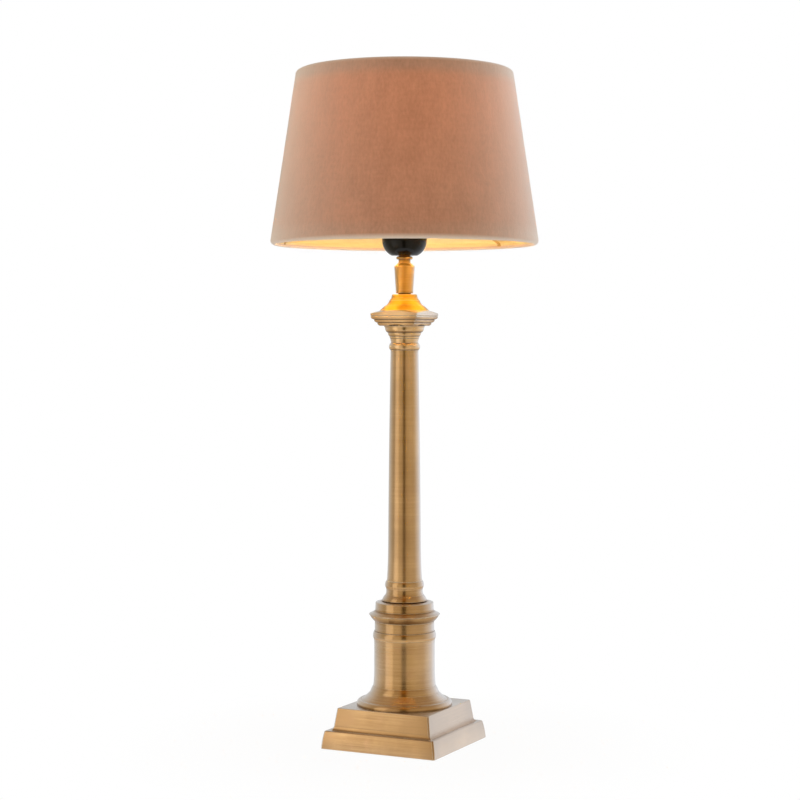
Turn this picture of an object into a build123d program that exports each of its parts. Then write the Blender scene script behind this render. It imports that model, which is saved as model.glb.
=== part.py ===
from build123d import *

import math
import os

# Column table lamp: a square two-tier plinth, a turned pedestal, a tapering round column
# with a square moulded capital, a screw lampholder and a tapered velvet shade.
# Millimetres, +Z up. The origin is on the table top under the middle of the plinth.
# The front face of the plinth looks along -Y and the cord leaves at the back, +Y.
# Every brass piece is threaded over one central tube, and a nut under the ballast
# and the lampholder at the top pull the stack together.

# Clearances
tube_gap = 0.25  # radial, round the central tube where a piece only slides over it
thread_gap = 0.1  # radial, between the two halves of a screw thread
seat_gap = 0.15  # radial, between a register and its recess
overrun = 1.0  # how far a cutting form runs past what it cuts

# Central threaded tube, nut and washer
tube_d = 10.0
tube_bore_d = 7.4
tube_tail = 2.5  # left below the nut
tube_head = 7.0  # screwed into the lampholder
nut_flats = 14.0
nut_h = 5.0
washer_d = 26.0
washer_t = 1.5

# Plinth: one hollow casting of two square tiers with a cove between them
felt_proud = 0.5  # how far the felt holds the rim off the table
lower_side = 140.0
lower_h = 19.9
lower_lean = 2.6  # how far in the top of each lower face stands
lower_bulge = 0.5
lower_edge = 1.7  # rounded top edge
cove_h = 5.0
cove_w = 2.4
upper_foot_side = 118.4
upper_side = 113.0
upper_h = 19.4
upper_edge = 0.8
corner_ease = 1.0  # how much the upright corners are dressed back, along the diagonal
plinth_wall = 4.0
plinth_roof = 3.5
plate_ledge = 3.0  # width of the ledge that the base plate rests against

# Base plate, felt, screws and ballast inside the plinth
plate_t = 2.0
plate_gap = 0.3
felt_t = 2.0
ballast_gap = 1.5
ballast_t = 20.0
ballast_edge = 2.0
boss_d = 9.0
boss_inset = 6.5  # from the wall of the lower cavity to the middle of a screw
screw_d = 3.8
screw_head_d = 7.4
screw_length = 11.0
screw_tip_gap = 1.0

# Cord outlet in the back of the lower tier
outlet_seat_in = 2.4  # depth of the flat seat cut in the rounded back face
grommet_bore_d = 7.0
grommet_neck_d = 9.4
grommet_flange_d = 12.0
grommet_flange_t = 1.5

# Pedestal: foot, flare, bead, drum, ring and flange, hollow from below
rim_r = 53.8
rim_edge = 1.6
rim_h = 6.2
rim_in = 4.4  # from the rim to the top of its quarter round
flare_in = 1.0  # small step between the rim and the flare
flare_top_r = 38.7
flare_h = 8.2
flare_sag = 0.5
bead_h = 7.2
bead_bulge = 0.35
drum_r = 34.1
drum_foot_out = 1.1
drum_foot_h = 15.0
drum_foot_sag = 0.18
drum_h = 53.0
drum_head_out = 0.4
drum_head_h = 6.0
drum_head_sag = 0.08
ring_out = 0.6  # quirk above and below the ring
ring_h = 8.5
ring_bulge = 1.1
neck_drum_r = 33.5
neck_drum_h = 11.2
flange_r = 39.9
flange_under_h = 7.2
flange_edge = 1.4
flange_slope_h = 3.1
pedestal_wall = 3.2
pedestal_top_t = 4.0

# Disc between the pedestal and the column base
disc_foot_r = 33.0
disc_r = 32.6
disc_side_h = 9.1
disc_edge = 0.7
disc_slope_h = 1.0
disc_top_r = 25.6
disc_wall = 3.5

# Column base: lower torus, scotia and upper ring
base_foot_r = 24.6
base_torus_r = 25.3
base_torus_foot = 0.9
base_torus_h = 6.6
base_torus_top_r = 22.2
base_torus_bulge = 0.45
scotia_step = 0.5
scotia_h = 8.2
scotia_top_r = 21.0
scotia_sag = 0.75
base_ring_r = 20.8
base_ring_h = 7.3
base_ring_bulge = 1.0
base_top_h = 0.4

# Column shaft
shaft_foot_r = 20.5
shaft_fillet_h = 2.4
shaft_fillet_sag = 0.3
shaft_flare_r = 19.6
shaft_flare_h = 33.0
shaft_flare_sag = 0.2
shaft_r = 18.4
shaft_top_r = 15.6
shaft_h = 259.7
shaft_swell = 0.35  # slight outward curve of the taper
shaft_wall = 1.6
register_h = 5.0  # turned collars that centre the shaft at both ends

# Neck ring and round part of the capital
neck_ring_r = 15.7
neck_ring_h = 7.9
neck_ring_bulge = 1.95
necking_r = 15.4
necking_h = 4.8
necking_flare = 0.7
necking_sag = 0.23
fillet_h = 0.3
fillet_in = 0.35
lower_band_h = 2.3
lower_band_out = 0.7
lower_band_bulge = 0.18
upper_band_h = 3.9
upper_band_out = 1.6
upper_band_bulge = 0.35
echinus_r = 19.4
echinus_h = 4.1
echinus_out = 2.5
echinus_bulge = 0.5
echinus_lip_out = 1.4
echinus_lip_h = 3.3
echinus_lip_sag = 0.35

# Square abacus of three rolls and a fascia under a low cone
abacus_foot_side = 41.0
abacus_step = 0.55  # quirk between one roll and the next, inwards and upwards
abacus_roll_out = 2.75
abacus_roll_h = 3.05
abacus_roll_bulge = 0.75
abacus_rolls = 3
abacus_side = 57.3
fascia_lift = 0.7
fascia_h = 2.3
abacus_edge_bulge = 0.15
cone_rise = 3.0  # from the corners up to the foot of the cap
cap_r = 27.9
bell_top_r = 20.8
bell_h = 6.2
bell_bulge = 0.35
bell_step = 0.5
waist_r = 17.0
waist_h = 5.6
waist_sag = 0.45
collar_band_r = 15.1
collar_band_h = 2.3
cap_top_r = 14.1
cap_top_h = 3.7
cap_top_edge = 0.6

# Spindle
spindle_foot_r = 7.35
spindle_foot_h = 1.4
spindle_low_r = 9.6
spindle_r = 11.45
spindle_h = 29.6
shoulder_h = 3.6
shoulder_edge = 1.2
spindle_neck_r = 6.7
spindle_neck_h = 4.7

# Lock ring under the lampholder
lock_r = 9.2
lock_h = 3.1
lock_bulge = 0.9
lock_top_r = 6.7
lock_top_h = 1.2

# Lampholder for a 27 mm screw bulb
holder_foot_r = 14.6
holder_r = 25.2
holder_bowl_h = 17.0
holder_bowl_bulge = 2.8
holder_h = 26.0
holder_wall = 3.2
holder_floor = 2.2
holder_boss_r = 7.6
holder_boss_h = 7.5
holder_cavity_r = 12.8
insert_seat_h = 9.7
insert_r = 18.2
insert_h = 11.0
insert_gap = 0.3
skirt_thread_h = 8.3
skirt_flange_h = 2.0
skirt_r = 19.75
skirt_h = 23.7
skirt_bore_r = 15.2
shell_r = 13.9
shell_t = 0.5
shell_h = 23.0
shell_flange = 1.3
terminal_x = 9.5
terminal_w = 6.6
terminal_d = 7.6
terminal_h = 6.6
terminal_gap = 0.2
terminal_screw_d = 3.0
terminal_head_d = 4.8
terminal_head_h = 1.8
terminal_screw_length = 5.0
contact_t = 0.5
contact_w = 6.0
contact_rise = 1.5
contact_foot = 5.0

# Shade rings that clamp the shade on the threaded skirt
lower_ring_r = 28.0
lower_ring_hub_r = 23.5
lower_ring_h = 5.0
lower_ring_flange_t = 1.5
upper_ring_r = 23.4
upper_ring_h = 7.0
upper_ring_grip_h = 5.0
upper_ring_web = 0.9
grip_flutes = 24
grip_flute_r = 0.9

# Shade frame
fitter_bore_r = 20.6
fitter_r = 28.0
fitter_t = 1.5
fitter_recess = 21.3  # from the shade's bottom edge up to the fitter
wire_d = 3.0
wire_gap = 0.2
arm_count = 3
arm_turn = 66.6  # direction of the first arm, from +X
arm_start_r = 24.4
arm_bend_r = 112.0
arm_bend_fillet = 14.0
weld_gap = 0.05

# Shade cover
shade_bottom_r = 150.0
shade_top_r = 121.9
shade_h = 193.5
hem_round = 4.5
hem_h = 9.0
hem_t = 4.9
cover_t = 1.3
glue_t = 0.05
liner_t = 0.6

# Bulb, 60 mm wide with a 27 mm screw cap
bulb_r = 30.0
bulb_length = 105.0
glass_t = 0.8
bulb_neck_r = 14.3
bulb_neck_h = 8.0
bulb_shoulder_deg = 40.0
cap_thread_r = 13.1
cap_wall = 0.3
cap_length = 21.0
cap_foot_r = 10.6
cap_foot_h = 2.4
insulator_h = 4.2
insulator_r = 5.2
tip_r = 4.7
tip_foot_r = 3.3
tip_h = 1.4
tip_gap = 0.1
glass_in_cap = 7.0
glass_cap_gap = 0.2
stem_flare_h = 2.0
stem_gap = 0.05  # between the stem's flare and the neck of the glass
stem_r = 4.0
stem_top_r = 3.2
stem_h = 26.0
lead_d = 0.8
lead_spread = 8.5
lead_h = 16.0
lead_sink = 4.0
filament_d = 0.9

# Heights of the seats, from the table up
plinth_z = felt_proud
plinth_h = lower_h + cove_h + upper_h
pedestal_z = plinth_z + plinth_h
rim_top_z = rim_h
flare_top_z = rim_top_z + flare_h
bead_top_z = flare_top_z + bead_h
drum_top_z = bead_top_z + drum_h
ring_top_z = drum_top_z + ring_h
neck_drum_top_z = ring_top_z + neck_drum_h
flange_top_z = neck_drum_top_z + flange_under_h + flange_edge
pedestal_h = flange_top_z + flange_slope_h
disc_z = pedestal_z + pedestal_h
disc_h = disc_side_h + disc_edge + disc_slope_h
base_z = disc_z + disc_h
base_h = base_torus_h + scotia_step + scotia_h + base_ring_h + base_top_h
shaft_z = base_z + base_h
neck_ring_z = shaft_z + shaft_h
echinus_z = neck_ring_z + neck_ring_h
capital_h = (
    necking_h + lower_band_h + upper_band_h + 3 * fillet_h + echinus_h + echinus_lip_h
)
abacus_z = echinus_z + capital_h
roll_pitch = abacus_roll_h + abacus_step
abacus_h = abacus_rolls * roll_pitch + fascia_lift + fascia_h + cone_rise
cap_z = abacus_z + abacus_h
cap_h = bell_h + waist_h + collar_band_h + cap_top_h + cap_top_edge
spindle_z = cap_z + cap_h
spindle_top_z = spindle_z + spindle_foot_h + spindle_h + shoulder_h + spindle_neck_h
lock_z = spindle_top_z
holder_z = lock_z + lock_h + lock_top_h
insert_z = holder_z + insert_seat_h
insert_top_z = insert_z + insert_h
holder_rim_z = holder_z + holder_h
skirt_seat_z = holder_rim_z + skirt_flange_h
fitter_z = skirt_seat_z + lower_ring_h
clamp_z = fitter_z + fitter_t
shade_z = fitter_z - fitter_recess
tip_z = insert_top_z + contact_rise + contact_t + tip_gap
insulator_z = tip_z + tip_h
bulb_cap_z = insulator_z + insulator_h
glass_z = bulb_cap_z + cap_length
bulb_top_z = tip_z + bulb_length

# Places that several pieces share
tube_r = tube_d / 2
bore_r = tube_r + tube_gap
lower_cavity = lower_side / 2 - lower_lean - plinth_wall
upper_cavity = upper_side / 2 - plinth_wall
rebate = lower_cavity + plate_ledge
rebate_h = felt_t + plate_t - felt_proud
screw_at = lower_cavity - boss_inset
outlet_z = plinth_z + (rebate_h + lower_h - plinth_roof) / 2
outlet_seat_y = lower_side / 2 - outlet_seat_in
ballast_z = pedestal_z - plinth_roof - ballast_t
washer_z = ballast_z - washer_t
nut_z = washer_z - nut_h
holder_bore_r = holder_r - holder_wall
shell_bore_r = shell_r - shell_t
wire_r = wire_d / 2
shade_slope = (shade_bottom_r - shade_top_r) / (shade_h - 2 * hem_round)


def outline(points):
    """Closed face. A third value is the bulge of the arc that ends at that point,
    to the right of the way the outline runs."""
    edges = []
    here = points[-1]
    for there in points:
        start, end = here[:2], there[:2]
        if len(there) == 3:
            edges.append(SagittaArc(start, end, -there[2]))
        elif start != end:
            edges.append(Line(start, end))
        here = there
    return make_face(edges)


def turned(points):
    """Solid of revolution about Z from an outline of (radius, height)."""
    return revolve(Plane.XZ * outline(points), Axis.Z)


def quarter(leg):
    """Bulge of a quarter round of this radius."""
    return leg * (1 - math.cos(math.radians(45)))


def swept_square(side, shrink=1.0, trim=0.0):
    """A section whose right side is given, run straight through the middle."""
    points = [(p[0] * shrink - trim, *p[1:]) for p in side]
    half = outline([(0, side[0][1]), *points, (0, side[-1][1])])
    section = half + mirror(half, Plane.YZ)
    reach = math.sqrt(2) * max(p[0] for p in side) + overrun
    return extrude(Plane.XZ * section, reach, both=True)


def mitred(side, ease=0.0):
    """The same section run along all four sides of a square, so that the runs meet
    in mitres. The mitres are dressed back by ease."""
    run = swept_square(side)
    solid = run & Rot(0, 0, 90) * run
    if ease > 0:
        diagonal = swept_square(side, math.sqrt(2), ease)
        solid = solid & Rot(0, 0, 45) * diagonal & Rot(0, 0, 135) * diagonal
    return solid


def ring(inner, outer, height):
    """Plain ring standing on z = 0."""
    return turned([(inner, 0), (outer, 0), (outer, height), (inner, height)])


def slab(half, height):
    """Square slab standing on z = 0."""
    return Pos(0, 0, height / 2) * Box(2 * half, 2 * half, height)


def corners(at):
    """The four corners of a square of half side at."""
    return [(x, y) for x in (-at, at) for y in (-at, at)]


def plinth_side():
    """Right side of the plinth's section, going up from the rim."""
    low = lower_side / 2
    top = low - lower_lean
    foot = upper_foot_side / 2
    head = upper_side / 2
    cove_top = lower_h + cove_h
    return [
        (low, 0),
        (top, lower_h - lower_edge, lower_bulge),
        (top - lower_edge, lower_h, quarter(lower_edge)),
        (foot + cove_w, lower_h),
        (foot, cove_top, -quarter(cove_w)),
        (head, plinth_h - upper_edge),
        (head - upper_edge, plinth_h, quarter(upper_edge)),
    ]


def screw_boss(x, y):
    """Boss in a corner of the plinth, from the base plate to the roof of the tier."""
    height = lower_h - plinth_roof / 2 - rebate_h
    boss = Pos(x, y, rebate_h + height / 2) * Cylinder(boss_d / 2, height)
    depth = screw_length - plate_t + screw_tip_gap
    hole = Pos(x, y, rebate_h + depth / 2) * Cylinder(screw_d / 2 + thread_gap, depth)
    return boss, hole


def plinth():
    """Hollow stepped casting with its screw bosses, tube hole and cord outlet."""
    body = mitred(plinth_side(), corner_ease)
    body -= slab(rebate, rebate_h)
    body -= slab(lower_cavity, lower_h - plinth_roof)
    body -= slab(upper_cavity, plinth_h - plinth_roof)
    for x, y in corners(screw_at):
        boss, hole = screw_boss(x, y)
        body = body + boss - hole
    body -= Pos(0, 0, plinth_h) * Cylinder(bore_r, 2 * (plinth_roof + overrun))
    back = Pos(0, outlet_seat_y, outlet_z - plinth_z) * Rot(-90, 0, 0)
    through = plinth_wall + overrun
    body -= back * Cylinder(grommet_neck_d / 2 + seat_gap, 2 * through)
    seat_r = grommet_flange_d / 2 + seat_gap
    body -= back * Pos(0, 0, through / 2) * Cylinder(seat_r, through)
    return Pos(0, 0, plinth_z) * body


def base_plate():
    """Steel plate that closes the plinth, countersunk for its screws."""
    plate = slab(rebate - plate_gap, plate_t)
    for x, y in corners(screw_at):
        plate -= Pos(x, y, 0) * turned(
            [
                (0, 0),
                (screw_head_d / 2 + thread_gap, 0),
                (screw_d / 2 + thread_gap, plate_t),
                (0, plate_t),
            ]
        )
    return Pos(0, 0, felt_t) * plate


def base_felt():
    """Felt pad glued under the base plate."""
    return slab(rebate - plate_gap, felt_t)


def plate_screws():
    """Countersunk screws from the base plate into the plinth's bosses."""
    screw = turned(
        [
            (0, 0),
            (screw_head_d / 2, 0),
            (screw_d / 2, plate_t),
            (screw_d / 2, screw_length),
            (0, screw_length),
        ]
    )
    return [Pos(x, y, felt_t) * screw for x, y in corners(screw_at)]


def ballast():
    """Cast iron disc held against the plinth's roof."""
    outer = upper_cavity - ballast_gap
    edge = ballast_edge
    return Pos(0, 0, ballast_z) * turned(
        [
            (bore_r, 0),
            (outer - edge, 0),
            (outer, edge, quarter(edge)),
            (outer, ballast_t - edge),
            (outer - edge, ballast_t, quarter(edge)),
            (bore_r, ballast_t),
        ]
    )


def base_washer():
    """Washer between the ballast and the nut."""
    return Pos(0, 0, washer_z) * ring(bore_r, washer_d / 2, washer_t)


def base_nut():
    """Hexagon nut with its corners chamfered by the lathe."""
    corner = nut_flats / math.sqrt(3)
    prism = extrude(RegularPolygon(nut_flats / 2, 6, major_radius=False), nut_h)
    chamfer_h = (corner - nut_flats / 2) / 2
    envelope = turned(
        [
            (0, 0),
            (nut_flats / 2, 0),
            (corner, chamfer_h),
            (corner, nut_h - chamfer_h),
            (nut_flats / 2, nut_h),
            (0, nut_h),
        ]
    )
    hole = Cylinder(tube_r + thread_gap, 2 * (nut_h + overrun))
    return Pos(0, 0, nut_z) * ((prism & envelope) - hole)


def threaded_tube():
    """Threaded tube from below the nut into the lampholder."""
    bottom = nut_z - tube_tail
    height = holder_z + tube_head - bottom
    return Pos(0, 0, bottom) * ring(tube_bore_d / 2, tube_r, height)


def cord_grommet():
    """Bush that lines the cord outlet, with a flange on each side of the wall."""
    bore = grommet_bore_d / 2
    neck = grommet_neck_d / 2
    flange = grommet_flange_d / 2
    wall = outlet_seat_y - lower_cavity
    bush = turned(
        [
            (bore, -grommet_flange_t - wall),
            (flange, -grommet_flange_t - wall),
            (flange, -wall),
            (neck, -wall),
            (neck, 0),
            (flange, 0),
            (flange - grommet_flange_t / 2, grommet_flange_t, quarter(grommet_flange_t)),
            (bore, grommet_flange_t),
        ]
    )
    return Pos(0, outlet_seat_y, outlet_z) * Rot(-90, 0, 0) * bush


def pedestal():
    """Turned pedestal: quarter-round rim, flare, bead, drum, ring and flange."""
    rim_top_r = rim_r - rim_in
    bead_r = drum_r + drum_foot_out
    flange_low_z = neck_drum_top_z
    flange_side_z = neck_drum_top_z + flange_under_h
    cavity_r = neck_drum_r - pedestal_wall
    cavity_top = pedestal_h - pedestal_top_t
    return Pos(0, 0, pedestal_z) * turned(
        [
            (cavity_r, 0),
            (rim_r, 0),
            (rim_r, rim_edge),
            (rim_top_r, rim_top_z, quarter(rim_in)),
            (rim_top_r - flare_in, rim_top_z),
            (flare_top_r, flare_top_z, -flare_sag),
            (bead_r, bead_top_z, bead_bulge),
            (drum_r, bead_top_z + drum_foot_h, -drum_foot_sag),
            (drum_r, drum_top_z - drum_head_h),
            (drum_r + drum_head_out, drum_top_z, -drum_head_sag),
            (drum_r + ring_out, drum_top_z),
            (neck_drum_r + ring_out, ring_top_z, ring_bulge),
            (neck_drum_r, ring_top_z),
            (neck_drum_r, flange_low_z),
            (flange_r - flange_edge / 2, flange_side_z, quarter(flange_edge)),
            (flange_r, flange_side_z + flange_edge / 2, quarter(flange_edge) / 2),
            (flange_r - flange_edge / 2, flange_top_z, quarter(flange_edge) / 2),
            (disc_foot_r, pedestal_h),
            (bore_r, pedestal_h),
            (bore_r, cavity_top),
            (cavity_r, cavity_top),
        ]
    )


def pedestal_disc():
    """Disc on top of the pedestal, hollow from below round its hub."""
    hub_r = bore_r + disc_wall
    hollow_r = disc_r - disc_wall
    hollow_h = disc_h - disc_wall
    return Pos(0, 0, disc_z) * turned(
        [
            (bore_r, 0),
            (hub_r, 0),
            (hub_r, hollow_h),
            (hollow_r, hollow_h),
            (hollow_r, 0),
            (disc_foot_r, 0),
            (disc_r, disc_side_h),
            (disc_r - disc_edge, disc_side_h + disc_edge, quarter(disc_edge)),
            (disc_top_r, disc_h),
            (bore_r, disc_h),
        ]
    )


def column_base():
    """Torus, scotia and ring, with a collar that centres the shaft."""
    scotia_z = base_torus_h + scotia_step
    ring_z = scotia_z + scotia_h
    ring_top = ring_z + base_ring_h
    collar_r = shaft_r - shaft_wall - seat_gap
    return Pos(0, 0, base_z) * turned(
        [
            (bore_r, 0),
            (base_foot_r, 0),
            (base_torus_r, base_torus_foot),
            (base_torus_top_r, base_torus_h, base_torus_bulge),
            (base_torus_top_r - scotia_step, scotia_z),
            (scotia_top_r, ring_z, -scotia_sag),
            (base_ring_r, ring_top, base_ring_bulge),
            (shaft_foot_r, base_h),
            (collar_r, base_h),
            (collar_r, base_h + register_h),
            (bore_r, base_h + register_h),
        ]
    )


def column_shaft():
    """Tapering tube with a small apophyge at its foot and straight registers."""
    low_bore = shaft_r - shaft_wall
    top_bore = shaft_top_r - shaft_wall
    flare_top = shaft_fillet_h + shaft_flare_h
    return Pos(0, 0, shaft_z) * turned(
        [
            (low_bore, 0),
            (shaft_foot_r, 0),
            (shaft_flare_r, shaft_fillet_h, -shaft_fillet_sag),
            (shaft_r, flare_top, -shaft_flare_sag),
            (shaft_top_r, shaft_h, shaft_swell),
            (top_bore, shaft_h),
            (top_bore, shaft_h - register_h),
            (low_bore, flare_top),
        ]
    )


def neck_ring():
    """Round bead on the shaft's head, with a collar down into its bore."""
    collar_r = shaft_top_r - shaft_wall - seat_gap
    return Pos(0, 0, neck_ring_z) * turned(
        [
            (bore_r, -register_h),
            (collar_r, -register_h),
            (collar_r, 0),
            (neck_ring_r, 0),
            (necking_r, neck_ring_h, neck_ring_bulge),
            (bore_r, neck_ring_h),
        ]
    )


def capital():
    """Round part of the capital: necking, two bands and the echinus."""
    neck_top = necking_r + necking_flare
    band_z = necking_h + fillet_h
    band_r = neck_top + lower_band_out
    upper_z = band_z + lower_band_h + fillet_h
    upper_r = band_r + fillet_in
    swell_z = upper_z + upper_band_h + fillet_h
    lip_z = swell_z + echinus_h
    lip_r = echinus_r + echinus_out
    return Pos(0, 0, echinus_z) * turned(
        [
            (bore_r, 0),
            (necking_r, 0),
            (neck_top, necking_h, -necking_sag),
            (neck_top - fillet_in, band_z),
            (neck_top, band_z),
            (band_r, band_z + lower_band_h, lower_band_bulge),
            (band_r - fillet_in, upper_z),
            (upper_r, upper_z),
            (upper_r + upper_band_out, upper_z + upper_band_h, upper_band_bulge),
            (upper_r + upper_band_out - fillet_in, swell_z),
            (echinus_r, swell_z),
            (lip_r, lip_z, echinus_bulge),
            (lip_r + echinus_lip_out, capital_h, -echinus_lip_sag),
            (bore_r, capital_h),
        ]
    )


def abacus_side_outline():
    """Right side of the abacus: three rolls stepping out, then the fascia."""
    side = []
    for step in range(abacus_rolls):
        foot = abacus_foot_side / 2 + step * abacus_roll_out
        z = step * roll_pitch
        side.append((foot, z))
        roll_top = z + abacus_roll_h
        side.append((foot + abacus_roll_out - abacus_step / 2, roll_top, abacus_roll_bulge))
        side.append((foot + abacus_roll_out - abacus_step, z + roll_pitch))
    half = abacus_side / 2
    fascia_z = abacus_rolls * roll_pitch + fascia_lift
    side.append((half, fascia_z, -abacus_edge_bulge))
    side.append((half, fascia_z + fascia_h + cone_rise))
    return side


def abacus():
    """Square moulded slab whose top is a low cone, so that its fascia arches up
    in the middle of each side."""
    corner_r = abacus_side / math.sqrt(2)
    low = abacus_h - cone_rise
    envelope = turned(
        [
            (bore_r, 0),
            (corner_r + overrun, 0),
            (corner_r + overrun, low),
            (corner_r, low),
            (cap_r, abacus_h),
            (bore_r, abacus_h),
        ]
    )
    return Pos(0, 0, abacus_z) * (mitred(abacus_side_outline(), corner_ease / 2) & envelope)


def cap():
    """Bell-shaped cap with its waist and collar, turned in one piece."""
    bell_z = bell_h
    waist_z = bell_z + waist_h
    band_z = waist_z + collar_band_h
    top_z = band_z + cap_top_h
    return Pos(0, 0, cap_z) * turned(
        [
            (bore_r, 0),
            (cap_r, 0),
            (bell_top_r, bell_z, bell_bulge),
            (bell_top_r - bell_step, bell_z),
            (waist_r, waist_z, -waist_sag),
            (waist_r - bell_step, waist_z),
            (collar_band_r, band_z),
            (collar_band_r - bell_step / 2, band_z),
            (cap_top_r, top_z),
            (cap_top_r - cap_top_edge, cap_h, quarter(cap_top_edge)),
            (bore_r, cap_h),
        ]
    )


def spindle():
    """Tapered spindle that stands on the cap on a narrow foot."""
    low_z = spindle_foot_h
    shoulder_z = low_z + spindle_h
    neck_z = shoulder_z + shoulder_h
    top_z = neck_z + spindle_neck_h
    return Pos(0, 0, spindle_z) * turned(
        [
            (bore_r, 0),
            (spindle_foot_r, 0),
            (spindle_foot_r, low_z),
            (spindle_low_r, low_z),
            (spindle_r, shoulder_z),
            (spindle_r - shoulder_edge, shoulder_z + shoulder_edge, quarter(shoulder_edge)),
            (spindle_neck_r + shoulder_edge, neck_z),
            (spindle_neck_r, neck_z + shoulder_edge, -quarter(shoulder_edge)),
            (spindle_neck_r, top_z),
            (bore_r, top_z),
        ]
    )


def lock_ring():
    """Rounded brass ring screwed up under the lampholder."""
    hole = tube_r + thread_gap
    foot = lock_r - lock_bulge
    return Pos(0, 0, lock_z) * turned(
        [
            (hole, 0),
            (foot, 0),
            (foot, lock_h, lock_bulge),
            (lock_top_r, lock_h),
            (lock_top_r, lock_h + lock_top_h),
            (hole, lock_h + lock_top_h),
        ]
    )


def holder_dome():
    """Bowl of the lampholder with a threaded boss and a seat for the insert."""
    hole = tube_r + thread_gap
    return Pos(0, 0, holder_z) * turned(
        [
            (hole, 0),
            (holder_foot_r, 0),
            (holder_r, holder_bowl_h, holder_bowl_bulge),
            (holder_r, holder_h),
            (holder_bore_r, holder_h),
            (holder_bore_r, insert_seat_h),
            (holder_cavity_r, insert_seat_h),
            (holder_cavity_r, holder_floor),
            (holder_boss_r, holder_floor),
            (holder_boss_r, holder_boss_h),
            (hole, holder_boss_h),
        ]
    )


def holder_insert():
    """Ceramic puck that carries the contacts, pocketed below for the terminals."""
    pocket_w = terminal_w + 2 * terminal_gap
    pocket_d = terminal_d + 2 * terminal_gap
    puck = Pos(0, 0, insert_z + insert_h / 2) * Cylinder(insert_r, insert_h)
    for x in (-terminal_x, terminal_x):
        puck -= Pos(x, 0, insert_z + terminal_h / 2) * Box(pocket_w, pocket_d, terminal_h)
    return puck


def terminals():
    """Two brass blocks in the insert's pockets, drilled for their screws."""
    blocks = []
    for x in (-terminal_x, terminal_x):
        block = Pos(x, 0, insert_z + terminal_h / 2) * Box(terminal_w, terminal_d, terminal_h)
        hole_r = terminal_screw_d / 2 + thread_gap / 2
        blocks.append(block - Pos(x, 0, insert_z) * Cylinder(hole_r, 2 * terminal_screw_length))
    return blocks


def terminal_screws():
    """Two cheese-head screws under the terminals."""
    screw = turned(
        [
            (0, -terminal_head_h),
            (terminal_head_d / 2, -terminal_head_h),
            (terminal_head_d / 2, 0),
            (terminal_screw_d / 2, 0),
            (terminal_screw_d / 2, terminal_screw_length),
            (0, terminal_screw_length),
        ]
    )
    return [Pos(x, 0, insert_z) * screw for x in (-terminal_x, terminal_x)]


def centre_contact():
    """Sprung strip that lifts from the insert to meet the bulb's tip."""
    foot_x = -shell_bore_r + shell_flange + contact_t
    ramp_x = foot_x + contact_foot
    pad_x = ramp_x + 2 * contact_rise
    strip = outline(
        [
            (foot_x, 0),
            (ramp_x, 0),
            (pad_x, contact_rise),
            (-pad_x, contact_rise),
            (-pad_x, contact_rise + contact_t),
            (pad_x - contact_t, contact_rise + contact_t),
            (ramp_x - contact_t, contact_t),
            (foot_x, contact_t),
        ]
    )
    solid = extrude(Plane.XZ * strip, contact_w / 2, both=True)
    return Pos(0, 0, insert_top_z) * solid


def thread_shell():
    """Brass shell that the bulb's cap screws into, with a flange on the insert."""
    return Pos(0, 0, insert_top_z) * turned(
        [
            (shell_bore_r - shell_flange, 0),
            (shell_r, 0),
            (shell_r, shell_h),
            (shell_bore_r, shell_h),
            (shell_bore_r, shell_t),
            (shell_bore_r - shell_flange, shell_t),
        ]
    )


def holder_skirt():
    """Skirt that screws into the bowl, clamps the insert and carries the rings."""
    hold_down = insert_top_z - holder_rim_z
    return Pos(0, 0, holder_rim_z) * turned(
        [
            (insert_r + insert_gap, -skirt_thread_h),
            (holder_bore_r - thread_gap, -skirt_thread_h),
            (holder_bore_r - thread_gap, 0),
            (holder_r, 0),
            (holder_r, skirt_flange_h),
            (skirt_r, skirt_flange_h),
            (skirt_r, skirt_flange_h + skirt_h),
            (skirt_bore_r, skirt_flange_h + skirt_h),
            (skirt_bore_r, hold_down),
            (insert_r + insert_gap, hold_down),
        ]
    )


def lower_shade_ring():
    """Flanged ring under the fitter."""
    hole = skirt_r + thread_gap
    shelf = lower_ring_h - lower_ring_flange_t
    return Pos(0, 0, skirt_seat_z) * turned(
        [
            (hole, 0),
            (lower_ring_hub_r, 0),
            (lower_ring_hub_r, shelf),
            (lower_ring_r, shelf),
            (lower_ring_r, lower_ring_h),
            (hole, lower_ring_h),
        ]
    )


def upper_shade_ring():
    """Clamp ring with a fluted grip, screwed down on the fitter."""
    hole = skirt_r + thread_gap
    body = ring(hole, upper_ring_r, upper_ring_h)
    flute = Cylinder(grip_flute_r, upper_ring_grip_h)
    flute_z = upper_ring_h - upper_ring_grip_h / 2
    for index in range(grip_flutes):
        turn = Rot(0, 0, index * 360 / grip_flutes)
        body -= turn * Pos(upper_ring_r + grip_flute_r - upper_ring_web, 0, flute_z) * flute
    return Pos(0, 0, clamp_z) * body


def fitter_ring():
    """Flat ring at the middle of the shade's frame."""
    return Pos(0, 0, fitter_z) * ring(fitter_bore_r, fitter_r, fitter_t)


def cone_r(height):
    """Outside radius of the shade at this height above its bottom edge."""
    return shade_bottom_r - shade_slope * (height - hem_round)


def wire_place(height):
    """Radius at which a wire ring runs in the middle of the hem."""
    return cone_r(height) - hem_t / 2


def arm(radius):
    """One frame arm: level from the fitter, then down to the bottom wire ring."""
    level = clamp_z - shade_z + wire_r
    target = Vector(wire_place(hem_round), 0, hem_round)
    bend = Vector(arm_bend_r, 0, level)
    stop = target - (target - bend).normalized() * (wire_d / 2 + weld_gap)
    path = FilletPolyline((arm_start_r, 0, level), bend, stop, radius=arm_bend_fillet)
    section = Plane(origin=path @ 0, z_dir=path % 0) * Circle(radius)
    return Pos(0, 0, shade_z) * sweep(section, path)


def arm_turns():
    """Turns that put one arm in each of the arms' places."""
    return [Rot(0, 0, arm_turn + index * 360 / arm_count) for index in range(arm_count)]


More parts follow.
